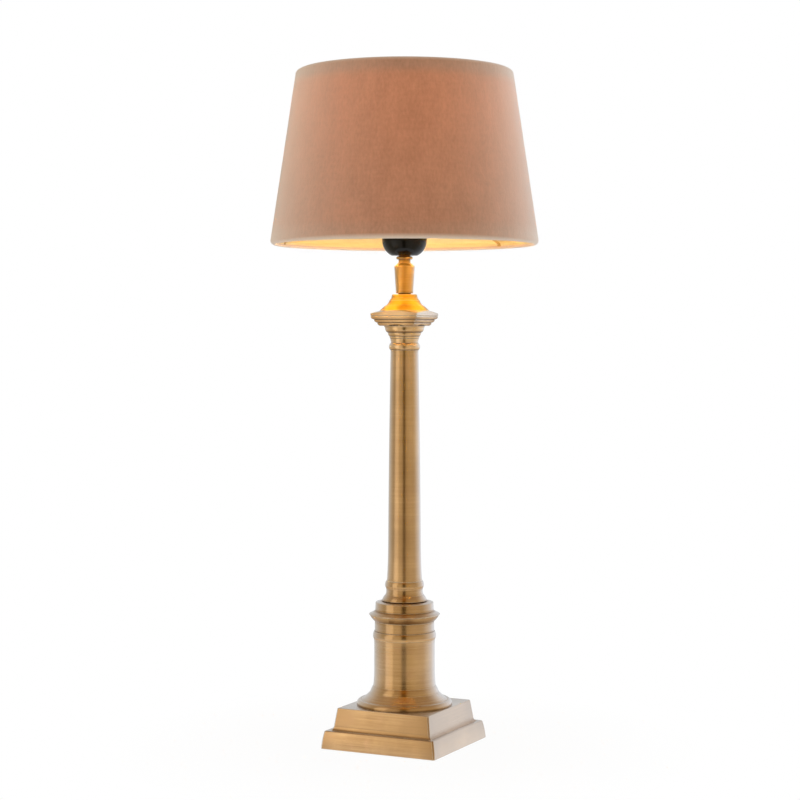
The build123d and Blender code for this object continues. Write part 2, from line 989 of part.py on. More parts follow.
def spider_arms():
    """The frame's arms, evenly spaced."""
    one = arm(wire_r)
    return [turn * one for turn in arm_turns()]


def wire_ring(height):
    """Round wire ring inside a hem."""
    return Pos(0, 0, shade_z + height) * Torus(wire_place(height), wire_r)


def hem(edge_z, inward):
    """Rolled hem round a wire ring, with its round edge at edge_z."""
    middle = edge_z + inward * hem_round
    far = edge_z + inward * hem_h
    edge_r = cone_r(middle)
    bulge = quarter(hem_round) * inward
    face = outline(
        [
            (cone_r(edge_z) - hem_t, edge_z),
            (edge_r - hem_round, edge_z),
            (edge_r, middle, bulge),
            (cone_r(far), far),
            (cone_r(far) - hem_t, far),
        ]
    )
    face -= Pos(wire_place(middle), middle) * Circle(wire_r + wire_gap)
    return Pos(0, 0, shade_z) * revolve(Plane.XZ * face, Axis.Z)


def bottom_hem():
    """Bottom hem, pierced where the arms reach its wire ring."""
    body = hem(0, 1)
    clear_arm = arm(wire_r + wire_gap)
    for turn in arm_turns():
        body -= turn * clear_arm
    return body


def shade_wall(outside, thickness):
    """Tapered wall between the hems, this far in from the shade's outside."""
    low = hem_h
    high = shade_h - hem_h
    inside = outside + thickness
    return Pos(0, 0, shade_z) * turned(
        [
            (cone_r(low) - inside, low),
            (cone_r(low) - outside, low),
            (cone_r(high) - outside, high),
            (cone_r(high) - inside, high),
        ]
    )


def bulb_side(wall):
    """Outside of the bulb's glass moved in by wall, going up from its cap."""
    tilt = math.radians(bulb_shoulder_deg)
    centre = bulb_top_z - glass_z - bulb_r
    globe = bulb_r - wall
    neck = bulb_neck_r - wall
    join = (globe * math.cos(tilt), centre - globe * math.sin(tilt))
    chord = math.hypot(join[0] - neck, join[1] - bulb_neck_h)
    hollow = chord / 2 * math.tan(tilt / 4)
    crown = globe * (1 - math.cos((tilt + math.pi / 2) / 2))
    return neck, join, hollow, (0, centre + globe), crown


def bulb_glass():
    """Pear-shaped glass, open at the neck where the stem closes it."""
    neck, join, hollow, top, crown = bulb_side(0)
    neck_in, join_in, hollow_in, top_in, crown_in = bulb_side(glass_t)
    collar = cap_thread_r - cap_wall - glass_cap_gap
    step = neck - collar
    return Pos(0, 0, glass_z) * turned(
        [
            (collar - glass_t, -glass_in_cap),
            (collar, -glass_in_cap),
            (collar, glass_t / 2),
            (neck, glass_t / 2 + step, quarter(step)),
            (neck, bulb_neck_h),
            (*join, -hollow),
            (*top, crown),
            top_in,
            (*join_in, -crown_in),
            (neck_in, bulb_neck_h, hollow_in),
            (collar - glass_t, bulb_neck_h),
        ]
    )


def bulb_cap():
    """Thin metal screw cap, turned in at its foot."""
    inside = cap_thread_r - cap_wall
    return Pos(0, 0, bulb_cap_z) * turned(
        [
            (cap_foot_r - cap_wall, 0),
            (cap_foot_r, 0),
            (cap_thread_r, cap_foot_h, quarter(cap_foot_h)),
            (cap_thread_r, cap_length),
            (inside, cap_length),
            (inside, cap_foot_h),
            (cap_foot_r - cap_wall, cap_wall, -quarter(cap_foot_h)),
        ]
    )


def bulb_insulator():
    """Black glass cone between the cap and the tip."""
    return Pos(0, 0, insulator_z) * turned(
        [(0, 0), (insulator_r, 0), (cap_foot_r, insulator_h), (0, insulator_h)]
    )


def bulb_tip():
    """Solder tip, slightly domed."""
    return Pos(0, 0, tip_z) * turned(
        [(0, 0), (tip_foot_r, 0), (tip_r, tip_h, quarter(tip_h)), (0, tip_h)]
    )


def bulb_stem():
    """Glass stem that closes the neck and holds the lead wires."""
    flare = cap_thread_r - cap_wall - glass_cap_gap - glass_t - stem_gap
    foot = -glass_in_cap
    return Pos(0, 0, glass_z) * turned(
        [
            (0, foot),
            (flare, foot),
            (flare, foot + stem_flare_h / 2),
            (stem_r, foot + 2 * stem_flare_h, -stem_flare_h / 2),
            (stem_top_r, foot + stem_h),
            (0, foot + stem_h),
        ]
    )


def bulb_leads():
    """Two support wires from the stem out to the ends of the filament."""
    root_z = glass_z - glass_in_cap + stem_h
    wires = []
    for side in (-1, 1):
        path = Polyline(
            (side * lead_d, 0, root_z),
            (side * lead_d, 0, root_z + lead_sink),
            (side * lead_spread, 0, root_z + lead_h),
        )
        section = Plane(origin=path @ 0, z_dir=path % 0) * Circle(lead_d / 2)
        wires.append(sweep(section, path, transition=Transition.ROUND))
    return wires


def bulb_filament():
    """Filament slung between the support wires."""
    z = glass_z - glass_in_cap + stem_h + lead_h + lead_d / 2 + filament_d / 2
    length = 2 * lead_spread
    return Pos(0, 0, z) * Rot(0, 90, 0) * Cylinder(filament_d / 2, length)


nodes = {
    "plinth": plinth(),
    "base_plate": base_plate(),
    "base_felt": base_felt(),
    "plate_screws": plate_screws(),
    "ballast": ballast(),
    "base_washer": base_washer(),
    "base_nut": base_nut(),
    "threaded_tube": threaded_tube(),
    "cord_grommet": cord_grommet(),
    "pedestal": pedestal(),
    "pedestal_disc": pedestal_disc(),
    "column_base": column_base(),
    "column_shaft": column_shaft(),
    "neck_ring": neck_ring(),
    "capital": capital(),
    "abacus": abacus(),
    "cap": cap(),
    "spindle": spindle(),
    "lock_ring": lock_ring(),
    "holder_dome": holder_dome(),
    "holder_insert": holder_insert(),
    "terminals": terminals(),
    "terminal_screws": terminal_screws(),
    "centre_contact": centre_contact(),
    "thread_shell": thread_shell(),
    "holder_skirt": holder_skirt(),
    "lower_shade_ring": lower_shade_ring(),
    "upper_shade_ring": upper_shade_ring(),
    "fitter_ring": fitter_ring(),
    "spider_arms": spider_arms(),
    "bottom_wire_ring": wire_ring(hem_round),
    "top_wire_ring": wire_ring(shade_h - hem_round),
    "bottom_hem": bottom_hem(),
    "top_hem": hem(shade_h, -1),
    "shade_cover": shade_wall(0, cover_t),
    "shade_liner": shade_wall(cover_t + glue_t, liner_t),
    "bulb_tip": bulb_tip(),
    "bulb_insulator": bulb_insulator(),
    "bulb_cap": bulb_cap(),
    "bulb_glass": bulb_glass(),
    "bulb_stem": bulb_stem(),
    "bulb_leads": bulb_leads(),
    "bulb_filament": bulb_filament(),
}

os.makedirs("parts", exist_ok=True)
for name, solids in nodes.items():
    group = solids if isinstance(solids, list) else [solids]
    pieces = [solid for shape in group for solid in shape.solids()]
    shape = pieces[0] if len(pieces) == 1 else Compound(children=pieces)
    export_step(shape, f"parts/{name}.step")
print("overall height", round(shade_z + shade_h, 1))
print("bulb top", round(bulb_top_z, 1), "shade bottom", round(shade_z, 1))
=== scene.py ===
import math

import bmesh
import bpy
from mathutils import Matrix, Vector, noise


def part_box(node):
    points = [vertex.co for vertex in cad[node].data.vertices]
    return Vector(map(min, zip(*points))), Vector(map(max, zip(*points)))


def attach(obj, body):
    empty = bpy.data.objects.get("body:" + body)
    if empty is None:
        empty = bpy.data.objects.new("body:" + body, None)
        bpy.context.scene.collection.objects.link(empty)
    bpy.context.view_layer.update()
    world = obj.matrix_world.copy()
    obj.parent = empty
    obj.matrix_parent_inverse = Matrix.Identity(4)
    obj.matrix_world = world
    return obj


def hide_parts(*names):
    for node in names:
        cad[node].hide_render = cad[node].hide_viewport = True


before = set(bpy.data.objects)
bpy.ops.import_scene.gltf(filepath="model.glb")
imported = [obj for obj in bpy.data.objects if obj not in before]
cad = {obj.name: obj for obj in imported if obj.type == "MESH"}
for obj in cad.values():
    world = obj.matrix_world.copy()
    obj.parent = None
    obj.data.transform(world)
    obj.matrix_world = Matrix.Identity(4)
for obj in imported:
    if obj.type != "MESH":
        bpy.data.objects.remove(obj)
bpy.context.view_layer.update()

# Camera, as the photograph's perspective gives it
picture_side = 800  # pixels
focal_px = 1940.7
sensor_mm = 36.0
view_azimuth = math.radians(26.24)
view_drop = math.radians(1.823)
view_distance = 2.1807
view_height = 0.4576
view_aside = -0.00505

# Floor
floor_r = 0.36
floor_gap = 0.0001  # below the felt
floor_sides = 96
floor_matt = (0.95, 0.95, 0.95, 1.0)
floor_white = 0.965  # share of plain white in the floor round the lamp
floor_near = 0.13  # it grows from here
floor_rim = 0.02  # to this far inside the floor's edge
plain_white = (1.0, 1.0, 1.0, 1.0)

# Light that metal reflects, round the object: degrees to the right of the gap where the
# camera stands, brightness and warmth
gap_turn = math.radians(-3.0)
studio_round = [
    (0.0, 0.10, 2.0),
    (7.0, 0.12, 2.0),
    (11.0, 0.55, 1.0),
    (29.0, 0.66, 1.0),
    (45.0, 0.70, 0.8),
    (61.0, 0.68, 1.0),
    (79.0, 0.66, 1.1),
    (99.0, 0.80, 0.3),
    (125.0, 0.85, -0.2),
    (150.0, 0.85, -0.3),
    (180.0, 0.60, 0.0),
    (222.0, 0.62, 0.3),
    (252.0, 0.62, 0.8),
    (274.0, 0.52, 1.2),
    (310.0, 0.60, 1.0),
    (329.0, 0.72, 0.8),
    (344.0, 0.66, 0.8),
    (350.0, 0.55, 1.0),
    (354.0, 0.12, 2.0),
]
studio_top = (0.52, 0.42, 0.30)
studio_glow = (0.44, 0.20, 0.01)  # overhead, on the camera's side
ceiling_rise = (0.45, 0.75)  # sine of the height over which the ceiling takes over
glow_across = (0.43, 0.48)  # share of a turn from straight behind over which it glows
warm_cut = (0.12, 0.35)  # share of green and of blue that a warmth of 1 takes away

# Soft boxes: degrees to the camera's right, distance, height, size and brightness
left_box = (-60.0, 0.9, 0.45, (0.50, 1.5), 0.56)
right_box = (112.0, 1.1, 0.80, (0.5, 0.5), 2.6)
plinth_box = (-64.0, 0.6, 0.15, (0.20, 0.5), 0.66)
box_warm = (1.0, 0.98, 0.94)
box_cool = (0.78, 0.92, 1.0)

# Bulb, its glow in the cover and what it spills on the brass below, in watts
bulb_power = 32.0
bulb_soft = 0.02  # radius of its light
bulb_warm = (1.0, 0.66, 0.30)
filament_glow = 60.0
glow_power = 0.7
glow_z = 0.70
spill_power = 0.18
spill_r = 0.12
spill_warm = (1.0, 0.62, 0.03)

# Colours, linear
brass_light = (0.68, 0.43, 0.20)
brass_dark = (0.47, 0.265, 0.10)
brass_deep = (0.36, 0.195, 0.075)
brass_rosy = (0.66, 0.385, 0.21)
brass_worn_highlight = (0.95, 0.82, 0.64)
brass_glance_sheen = (0.95, 0.95, 0.95)
brass_aged_and_shaded = (0.36, 0.20, 0.075)
brass_shade = (0.36, 0.19, 0.06)
brass_grime_and_shade = (0.13, 0.055, 0.012)
brass_under_shade = (0.20, 0.095, 0.022)
brass_painted_glow = (0.80, 0.41, 0.03)
brass_painted_light = (1.0, 0.68, 0.38)
velvet_rose = (0.70, 0.385, 0.29)
velvet_brown = (0.545, 0.30, 0.222)
velvet_sheen_tone = (0.98, 0.91, 0.90)
velvet_lit = (0.90, 0.32, 0.14)
gold = (1.0, 0.88, 0.60)
zinc_tone = (0.55, 0.56, 0.58)
iron_tone = (0.05, 0.05, 0.05)
grommet_tone = (0.02, 0.02, 0.02)
holder_tone = (0.004, 0.0035, 0.004)
ceramic_tone = (0.75, 0.73, 0.68)
contact_tone = (0.80, 0.58, 0.26)
wire_tone = (0.92, 0.66, 0.30)
nickel_tone = (0.75, 0.75, 0.74)
insulator_tone = (0.01, 0.01, 0.012)
glass_tone = (1.0, 0.97, 0.92, 1.0)
felt_dark = (0.012, 0.011, 0.010)
felt_light = (0.05, 0.046, 0.042)
filament_dark = (1.0, 0.55, 0.20)
filament_light = (1.0, 0.75, 0.40)

# Brass: noise across and along the brushing, per metre, and the scale of its patches
brush_fine = (1900.0, 16.0)
brush_broad = (420.0, 7.0)
brush_band = (110.0, 3.0)
blotch_scale = 26.0
bloom_scale = 60.0
age_scale = 15.0
edge_r = 0.0006
wear_highlight_r = 0.0016
grime_and_shade_reach = 0.004
shade_reach = 0.02
tier_z = 0.022  # the painted shade starts further from a square piece's corners above this
tier_ease = 0.004
brass_rough = (0.22, 0.28)
brush_bump = (0.035, 0.0002)  # strength and depth
brush_pull = 0.86  # how far the brushing draws a reflection out
brush_turn = 0.25  # of a turn, from round the axis to along it

# Tones of the brass: where each starts to show, where it shows in full, and its full share
streak_span = (0.32, 0.66, 1.0)
band_span = (0.42, 0.62, 0.35)
blotch_span = (0.45, 0.7, 0.6)
bloom_span = (0.52, 0.72, 0.4)
age_span = (0.46, 0.64, 0.5)
hollow_span = (0.92, 0.5, 0.8)
grime_and_shade_span = (0.92, 0.5, 0.95)
under_shade_span = (-0.4, -0.7, 0.85)  # upward part of the normal, over which the painted shade on undersides grows
worn_highlight_span = (0.99, 0.86, 0.8)  # match of the rounded normal with the true one
worn_highlight_dull = 0.8  # a worn edge, with its painted highlight, is this much less of a mirror
corner_from = (0.66, 0.40)  # share of the way to a corner, below tier_z and above it
corner_full = 0.97
corner_dark = 0.8
glance_sheen_power = 1.5
glance_sheen_up = (-0.35, -0.05)  # upward part of the normal over which the painted sheen begins
glance_sheen_open = (0.82, 0.98)
glance_sheen_level = (1.0, 1.0, 0.5)  # the painted sheen hardly sees how far a face leans

# Velvet: scales of its brushing and pile, and stretch of its two sets of threads
nap_scale = 50.0
tuft_scale = 420.0
pile_scale = 1400.0
tuft_bump = (0.25, 0.0006)
pile_bump = (0.4, 0.0003)
nap_stretch = (1.0, 1.0, 0.5)
warp_stretch = (300.0, 300.0, 30.0)
weft_stretch = (30.0, 30.0, 300.0)
weave_share = 0.13
patch_share = 0.37
brushed_span = (0.37, 0.63, 1.0)
painted_sheen_power = 1.1
velvet_through = 0.10  # share that lets the bulb's light through
foot_highlight_h = 0.006  # painted highlight on the pile up to here over the foot
head_highlight_h = 0.004
head_highlight_share = 0.6
foot_fade_h = 0.012  # the lapped hems hold the light back over these heights
head_fade_h = 0.010

# Other finishes: scales of their noise, strength and depth of their relief, and how far
# tone and roughness vary
noise_span = (0.3, 0.7)  # most of a noise lies between these
tone_dark = 0.8
metal_swing = 0.12
metal_bump = (0.15, 0.0001)
speck_scale = 60.0
peel_scale = 420.0
peel_bump = (0.04, 0.0002)
moulded_swing = 0.06
hair_scale = 900.0
hair_bump = (0.6, 0.0004)
ripple_scale = 40.0
ripple_bump = (0.25, 0.0004)
foil_scale = 700.0
foil_bump = (0.2, 0.0001)
foil_dark = 0.9
foil_rough = (0.42, 0.52)
wave_scale = 60.0
wave_bump = (0.04, 0.0003)
flicker_scale = 800.0

# Cloth and sheet of the shade, as the CAD has them
cover_t = 0.0013
glue_t = 0.00005
liner_t = 0.0006
hem_t = 0.0049
hem_round = 0.0045
arm_turn = math.radians(66.6)
arm_count = 3

# Finer forms of the cloth
seam_turn = math.radians(97.0)  # direction of the cover's seam, at the back
seam_lap = 0.012
seam_step = 0.0004
seam_edge = 0.0012
sway_wide = (2.2, 9.0, 0.00035)  # waves round the shade, per metre of height, and depth
sway_close = (9.0, 40.0, 0.00012)
cloth_t = 0.0009
hem_bend = 0.0014
turn_in_h = 0.0034  # height of the hem's edge inside the shade
wrap_low = 0.0052  # the lining comes off its wire ring here
wrap_high = 0.0088  # and lies on the wall from here
wrap_steps = 10
tuck_h = 0.0026  # the hem's edge is drawn down to here under an arm
notch_h = 0.0072  # the lining is notched to here round an arm
arm_room = 0.0019  # half a notch
arm_ease = 0.0012
sliver = 0.0001  # margin too small to see
crease = math.radians(50.0)
cover_rows = 44
cover_sides = 320
hem_sides = 640
liner_rows = 40

# Felt
felt_soft = 0.0005
felt_ragged = 0.0002
felt_waves = (60, 900)  # round the edge, and per metre of height
felt_sides = 720

# Threaded pieces, as the CAD has them, with each thread cut inwards from the outside
skirt_pitch = 0.0025
skirt_depth = 0.0009
skirt_r = 0.01975
skirt_bore_r = 0.0152
skirt_flange_h = 0.002
skirt_seat_r = 0.0185
skirt_foot_r = 0.0219
skirt_rows = 100
bulb_pitch = 0.00363
bulb_depth = 0.0008
bulb_plain_h = 0.0075  # over the cap's thread
bulb_cap_wall = 0.0003
bulb_cap_round = 0.0024
shell_wall = 0.0005
shell_bore_r = 0.0134
shell_lip_r = 0.0121
shell_plain_foot = 0.004
shell_plain_head = 0.001
thread_rows = 80
thread_sides = 144
thread_fade = 0.4  # of the pitch

# Filament
coil_turns = 44
coil_steps = 14
coil_sides = 6
coil_r = 0.00037
coil_wire_r = 0.00007

# Cone of the shade, from the CAD boxes
cover_low, cover_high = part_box("shade_cover")
shade_foot_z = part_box("bottom_hem")[0].z
shade_head_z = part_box("top_hem")[1].z
shade_slope = (cover_high.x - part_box("top_hem")[1].x) / (cover_high.z - cover_low.z)


def add(tree, kind, inputs=(), **settings):
    """New shader node. An input is a value, or the output that feeds it."""
    made = tree.nodes.new("ShaderNode" + kind)
    for key, value in settings.items():
        setattr(made, key, value)
    for key, value in dict(inputs).items():
        if isinstance(value, bpy.types.NodeSocket):
            tree.links.new(value, made.inputs[key])
        else:
            made.inputs[key].default_value = value
    return made


def material(name):
    """Empty material and its node tree."""
    made = bpy.data.materials.new(name)
    made.use_nodes = True
    made.node_tree.nodes.clear()
    return made, made.node_tree


def show(tree, surface):
    """Wires a shader to the material's output."""
    add(tree, "OutputMaterial", {"Surface": surface})


def math_node(tree, operation, first, second=0.0):
    """One Math node's value."""
    return add(tree, "Math", {0: first, 1: second}, operation=operation).outputs[0]


def multiply(tree, first, second):
    """Product of two values."""
    return math_node(tree, "MULTIPLY", first, second)


def blend_colour(tree, share, low, high):
    """Colour between low and high; either may be a colour or an output."""
    low = low if isinstance(low, bpy.types.NodeSocket) else (*low, 1.0)
    high = high if isinstance(high, bpy.types.NodeSocket) else (*high, 1.0)
    mix = add(tree, "Mix", {"Factor": share, 6: low, 7: high}, data_type="RGBA")
    return mix.outputs[2]


def spread(tree, value, low, high, to_low, to_high):
    """Value mapped from one range to another, and kept inside it."""
    names = {"Value": value, "From Min": low, "From Max": high, "To Min": to_low, "To Max": to_high}
    return add(tree, "MapRange", names).outputs["Result"]


def lay(tree, tone, colour, value, low, high, share):
    """Tone with a colour over it, which grows to a share as the value goes from low to high."""
    return blend_colour(tree, spread(tree, value, low, high, 0.0, share), tone, colour)


def scaled(tree, vector, scale):
    """Vector with each of its parts scaled."""
    return add(tree, "VectorMath", {0: vector, 1: scale}, operation="MULTIPLY").outputs[0]


def own_place(tree):
    """Point of the piece."""
    return add(tree, "TexCoord").outputs["Object"]


def own_height(tree):
    """Height of a point of the piece."""
    return add(tree, "SeparateXYZ", {0: own_place(tree)}).outputs[2]


def side_reach(tree):
    """A point's distances from the axis along X and along Y."""
    parts = add(tree, "SeparateXYZ", {0: own_place(tree)})
    return [math_node(tree, "ABSOLUTE", parts.outputs[axis]) for axis in (0, 1)]


def brush_lines(tree, scales, square):
    """Noise that runs with the brushing: round a turned piece, or along a square one's sides."""
    across, along = scales
    place = own_place(tree)
    if square:
        out = math_node(tree, "MAXIMUM", *side_reach(tree))
    else:
        parts = add(tree, "SeparateXYZ", {0: place})
        flat = add(tree, "CombineXYZ", {0: parts.outputs[0], 1: parts.outputs[1]})
        out = add(tree, "VectorMath", {0: flat.outputs[0]}, operation="LENGTH").outputs["Value"]
    return add(
        tree,
        "TexNoise",
        {
            "Vector": scaled(tree, place, (along, along, across)),
            "W": multiply(tree, out, across),
            "Scale": 1.0,
            "Detail": 3.0,
            "Roughness": 0.6,
        },
        noise_dimensions="4D",
    ).outputs["Fac"]


def cloud(tree, scale, detail=3.0):
    """Even noise over the piece."""
    inputs = {"Vector": own_place(tree), "Scale": scale, "Detail": detail}
    return add(tree, "TexNoise", inputs).outputs["Fac"]


def bump(tree, height, strength, distance, under=None):
    """Normal raised by a height, on top of another normal."""
    inputs = {"Strength": strength, "Distance": distance, "Height": height}
    if under is not None:
        inputs["Normal"] = under
    return add(tree, "Bump", inputs).outputs[0]


def corner_share(tree):
    """0 at the middle of a square piece's sides and 1 at its corners."""
    sides = side_reach(tree)
    least = math_node(tree, "MINIMUM", *sides)
    return math_node(tree, "DIVIDE", least, math_node(tree, "MAXIMUM", *sides))


def worn_highlight_share(tree, rounded):
    """How worn a point is, with a painted highlight on its edges: 0 on open faces and most on a
    sharp edge, from the rounded normal.
    """
    true = add(tree, "NewGeometry").outputs["Normal"]
    match = add(tree, "VectorMath", {0: rounded, 1: true}, operation="DOT_PRODUCT")
    low, high, share = worn_highlight_span
    return multiply(tree, spread(tree, match.outputs["Value"], low, high, 0.0, 1.0), share)


def open_share(tree, reach, own):
    """1 on open faces, falling in hollows narrower than the reach; own keeps it to the piece."""
    inputs = {"Distance": reach}
    return add(tree, "AmbientOcclusion", inputs, samples=6, only_local=own).outputs["AO"]


def brass(name, square=False, satin=0.0, tint=brass_light, share=0.0, sheen_veil=1.0):
    """Aged brass, brushed round or along the piece, with painted shade, highlights and sheen in
    its colour. satin roughens it, tint colours a share of it, and veil is how much painted sheen it
    takes at a glance."""
    made, tree = material(name)
    fine = brush_lines(tree, brush_fine, square)
    broad = brush_lines(tree, brush_broad, square)
    band = brush_lines(tree, brush_band, square)
    blotch = cloud(tree, blotch_scale)
    bloom = cloud(tree, bloom_scale, 4.0)
    age = cloud(tree, age_scale, 5.0)
    rounded = add(tree, "Bevel", {"Radius": edge_r}, samples=4).outputs[0]
    edges = add(tree, "Bevel", {"Radius": wear_highlight_r}, samples=4).outputs[0]
    near = open_share(tree, grime_and_shade_reach, square)
    wide = open_share(tree, shade_reach, True)
    streak = multiply(tree, math_node(tree, "ADD", fine, broad), 0.5)
    darkest = brass_deep if square else brass_dark
    tone = lay(tree, darkest, brass_light, streak, *streak_span)
    tone = lay(tree, tone, brass_dark, band, *band_span)
    tone = lay(tree, tone, brass_light, blotch, *blotch_span)
    tone = lay(tree, tone, brass_rosy, bloom, *bloom_span)
    tone = blend_colour(tree, share, tone, tint)
    tone = lay(tree, tone, brass_aged_and_shaded, age, *age_span)
    # Darker in wide hollows: painted shade
    tone = lay(tree, tone, brass_shade, wide, *hollow_span)
    up = add(tree, "SeparateXYZ", {0: add(tree, "NewGeometry").outputs["Normal"]}).outputs[2]
    if square:
        # Darker towards a square piece's corners: painted shade
        start = spread(tree, own_height(tree), tier_z, tier_z + tier_ease, *corner_from)
        tone = lay(tree, tone, brass_aged_and_shaded, corner_share(tree), start, corner_full, corner_dark)
    else:
        # Darker on faces turned down: painted shade
        tone = lay(tree, tone, brass_under_shade, up, *under_shade_span)
    worn_highlight = worn_highlight_share(tree, edges)
    # Paler on sharp edges: wear, and a painted highlight
    tone = blend_colour(tree, worn_highlight, tone, brass_worn_highlight)
    # Darker in narrow grooves and where pieces meet: grime, and painted shade
    tone = lay(tree, tone, brass_grime_and_shade, near, *grime_and_shade_span)
    lines = bump(tree, fine, *brush_bump, rounded)
    level = scaled(tree, rounded, glance_sheen_level)
    level = add(tree, "VectorMath", {0: level}, operation="NORMALIZE").outputs[0]
    facing = add(tree, "LayerWeight", {"Blend": 0.5, "Normal": level}).outputs["Facing"]
    glance_sheen = math_node(tree, "POWER", facing, glance_sheen_power)
    glance_sheen = multiply(tree, glance_sheen, spread(tree, up, *glance_sheen_up, 0.0, sheen_veil))
    glance_sheen = multiply(tree, glance_sheen, spread(tree, near, *glance_sheen_open, 0.0, 1.0))
    # Paler at a glance: a painted sheen of the pale surroundings
    tone = blend_colour(tree, glance_sheen, tone, brass_glance_sheen)
    turning = add(tree, "Tangent", direction_type="RADIAL", axis="Z")
    smooth, rough = brass_rough
    shader = add(
        tree,
        "BsdfPrincipled",
        {
            "Base Color": tone,
            "Metallic": math_node(tree, "SUBTRACT", 1.0, multiply(tree, worn_highlight, worn_highlight_dull)),
            "Roughness": spread(tree, broad, *noise_span, smooth + satin, rough + satin),
            "Anisotropic": brush_pull,
            "Anisotropic Rotation": brush_turn,
            "Tangent": turning.outputs[0],
            "Normal": lines,
        },
    )
    show(tree, shader.outputs[0])
    return made


def plain_metal(name, colour, roughness, grain):
    """Steel, iron or bright brass with a grain in its roughness and surface."""
    made, tree = material(name)
    speck = cloud(tree, grain, 5.0)
    shader = add(
        tree,
        "BsdfPrincipled",
        {
            "Base Color": blend_colour(tree, speck, [c * tone_dark for c in colour], colour),
            "Metallic": 1.0,
            "Roughness": spread(tree, speck, *noise_span, roughness, roughness + metal_swing),
            "Normal": bump(tree, speck, *metal_bump),
        },
    )
    show(tree, shader.outputs[0])
    return made


def moulded(name, colour, roughness, shine=0.5):
    """Moulded plastic, ceramic or painted iron: even colour with a faint orange peel."""
    made, tree = material(name)
    peel = cloud(tree, peel_scale, 2.0)
    speck = cloud(tree, speck_scale, 4.0)
    shader = add(
        tree,
        "BsdfPrincipled",
        {
            "Base Color": blend_colour(tree, speck, [c * tone_dark for c in colour], colour),
            "Roughness": spread(tree, speck, *noise_span, roughness, roughness + moulded_swing),
            "Specular IOR Level": shine,
            "Normal": bump(tree, peel, *peel_bump),
        },
    )
    show(tree, shader.outputs[0])
    return made


def velvet(name, lit):
    """Short dusty-pink pile, with a painted sheen towards its edges and painted highlights on its
    rims. lit is the share that lets the bulb's light through.
    """
    made, tree = material(name)
    tall = scaled(tree, own_place(tree), nap_stretch)
    soft = {"Vector": tall, "Scale": nap_scale, "Detail": 5.0, "Roughness": 0.6}
    nap = add(tree, "TexNoise", soft).outputs["Fac"]
    threads = []
    for stretch in (warp_stretch, weft_stretch):
        run = {"Vector": scaled(tree, own_place(tree), stretch), "Scale": 1.0, "Detail": 2.0}
        threads.append(add(tree, "TexNoise", run).outputs["Fac"])
    weave = multiply(tree, math_node(tree, "ADD", *threads), weave_share)
    tufts = {"Vector": tall, "Scale": tuft_scale, "Detail": 3.0}
    tuft = add(tree, "TexNoise", tufts).outputs["Fac"]
    pile = cloud(tree, pile_scale, 3.0)
    patch = multiply(tree, math_node(tree, "ADD", nap, tuft), patch_share)
    brushed = math_node(tree, "ADD", patch, weave)
    colour = lay(tree, velvet_brown, velvet_rose, brushed, *brushed_span)
    raised = bump(tree, tuft, *tuft_bump, bump(tree, pile, *pile_bump))
    facing = add(tree, "LayerWeight", {"Blend": 0.5, "Normal": raised}).outputs["Facing"]
    painted_sheen = math_node(tree, "POWER", facing, painted_sheen_power)
    height = own_height(tree)
    foot_highlight = spread(tree, height, shade_foot_z, shade_foot_z + foot_highlight_h, 1.0, 0.0)
    head_highlight = spread(tree, height, shade_head_z - head_highlight_h, shade_head_z, 0.0, head_highlight_share)
    painted_sheen = math_node(tree, "MAXIMUM", painted_sheen, math_node(tree, "MAXIMUM", foot_highlight, head_highlight))
    # Paler towards the edges and along both rims: painted sheen and painted highlights
    colour = blend_colour(tree, painted_sheen, colour, velvet_sheen_tone)
    body = add(
        tree,
        "BsdfPrincipled",
        {
            "Base Color": colour,
            "Roughness": 0.95,
            "Specular IOR Level": 0.1,
            "Sheen Weight": 0.5,
            "Sheen Roughness": 0.4,
            "Sheen Tint": (*velvet_sheen_tone, 1.0),
            "Normal": raised,
        },
    )
    surface = body.outputs[0]
    if lit:
        through = add(tree, "BsdfTranslucent", {"Color": (*velvet_lit, 1.0)})
        foot_fade = spread(tree, height, cover_low.z, cover_low.z + foot_fade_h, 0.0, 1.0)
        head_fade = spread(tree, height, cover_high.z - head_fade_h, cover_high.z, 1.0, 0.0)
        share = multiply(tree, multiply(tree, foot_fade, head_fade), lit)
        surface = add(tree, "MixShader", {0: share, 1: surface, 2: through.outputs[0]}).outputs[0]
    show(tree, surface)
    return made


def felt():
    """Wool felt under the base."""
    made, tree = material("felt")
    hair = cloud(tree, hair_scale, 6.0)
    shader = add(
        tree,
        "BsdfPrincipled",
        {
            "Base Color": blend_colour(tree, hair, felt_dark, felt_light),
            "Roughness": 1.0,
            "Sheen Weight": 0.4,
            "Normal": bump(tree, hair, *hair_bump),
        },
    )
    show(tree, shader.outputs[0])
    return made


def gold_foil():
    """Gold foil on a stiff sheet, with the soft ripple of lamination."""
    made, tree = material("gold_foil")
    ripple = cloud(tree, ripple_scale, 3.0)
    grain = cloud(tree, foil_scale, 2.0)
    shader = add(
        tree,
        "BsdfPrincipled",
        {
            "Base Color": blend_colour(tree, ripple, [c * foil_dark for c in gold], gold),
            "Metallic": 0.6,
            "Roughness": spread(tree, grain, *noise_span, *foil_rough),
            "Normal": bump(tree, grain, *foil_bump, bump(tree, ripple, *ripple_bump)),
        },
    )
    show(tree, shader.outputs[0])
    return made


def bulb_glass():
    """Clear glass, faintly warm."""
    made, tree = material("bulb_glass")
    wave = cloud(tree, wave_scale, 2.0)
    shader = add(
        tree,
        "BsdfPrincipled",
        {
            "Base Color": glass_tone,
            "Roughness": 0.02,
            "IOR": 1.5,
            "Transmission Weight": 1.0,
            "Normal": bump(tree, wave, *wave_bump),
        },
    )
    show(tree, shader.outputs[0])
    return made


